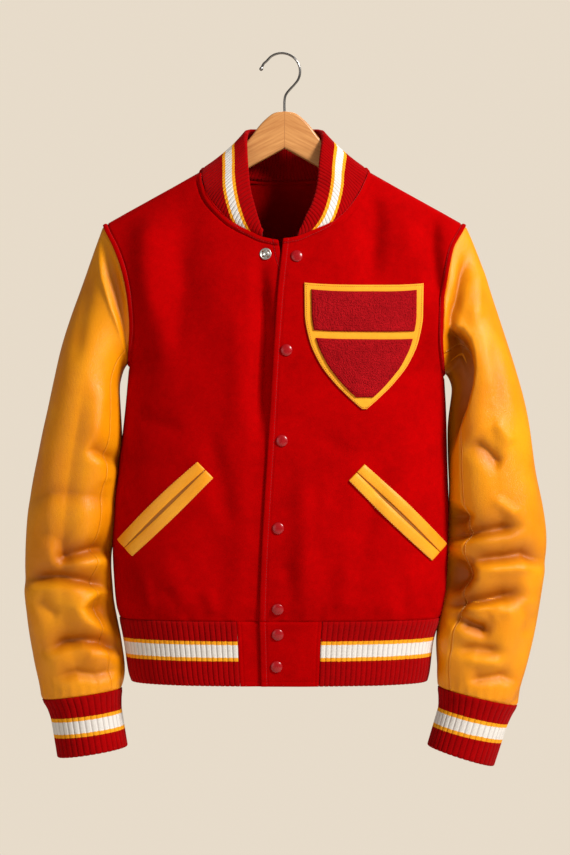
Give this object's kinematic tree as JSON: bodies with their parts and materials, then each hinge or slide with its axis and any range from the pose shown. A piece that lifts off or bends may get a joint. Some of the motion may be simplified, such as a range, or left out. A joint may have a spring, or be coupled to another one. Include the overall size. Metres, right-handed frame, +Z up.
{
  "type": "varsity jacket on a hanger",
  "caption": "Wool varsity jacket with leather sleeves, striped rib knit collar, cuffs and hem, snap front, slanted pockets and a shield patch, on a wooden hanger.",
  "frame": {"origin": "inside top of the hanger's hook, above its shank", "axes": "+Z up, +X to the right seen from the front, the jacket's front faces -Y"},
  "size_m": [0.6599, 0.1648, 0.9056],
  "materials": {
    "wool": "matte melton wool, short nap",
    "sleeve_leather": "soft satin leather",
    "rib_knit": "matte rib knit with white and yellow stripes",
    "welt_leather": "smooth satin leather",
    "snap_cap": "glossy enamelled cap",
    "snap_stud": "nickel",
    "felt": "matte felt",
    "chenille": "looped chenille pile",
    "hanger_wood": "satin clear lacquer",
    "hook_wire": "polished"
  },
  "bodies": {
    "root": {"front_right": "wool", "front_left": "wool", "back": "wool", "sleeve_right_upper": "sleeve_leather", "sleeve_right_under": "sleeve_leather", "sleeve_left_upper": "sleeve_leather", "sleeve_left_under": "sleeve_leather", "collar": "rib_knit", "hem_rib": "rib_knit", "hem_tab_right": "wool", "hem_tab_left": "wool", "cuff_right": "rib_knit", "cuff_left": "rib_knit", "snap_cap_1": "snap_cap", "snap_cap_2": "snap_cap", "snap_cap_3": "snap_cap", "snap_cap_4": "snap_cap", "snap_cap_5": "snap_cap", "snap_cap_6": "snap_cap", "snap_cap_7": "snap_cap", "snap_stud": "snap_stud", "pocket_welt_right_upper": "welt_leather", "pocket_welt_right_lower": "welt_leather", "pocket_welt_left_upper": "welt_leather", "pocket_welt_left_lower": "welt_leather", "patch_felt": "felt", "patch_pile_upper": "chenille", "patch_pile_lower": "chenille", "hanger": "hanger_wood", "hook": "hook_wire"}
  },
  "joints": []
}
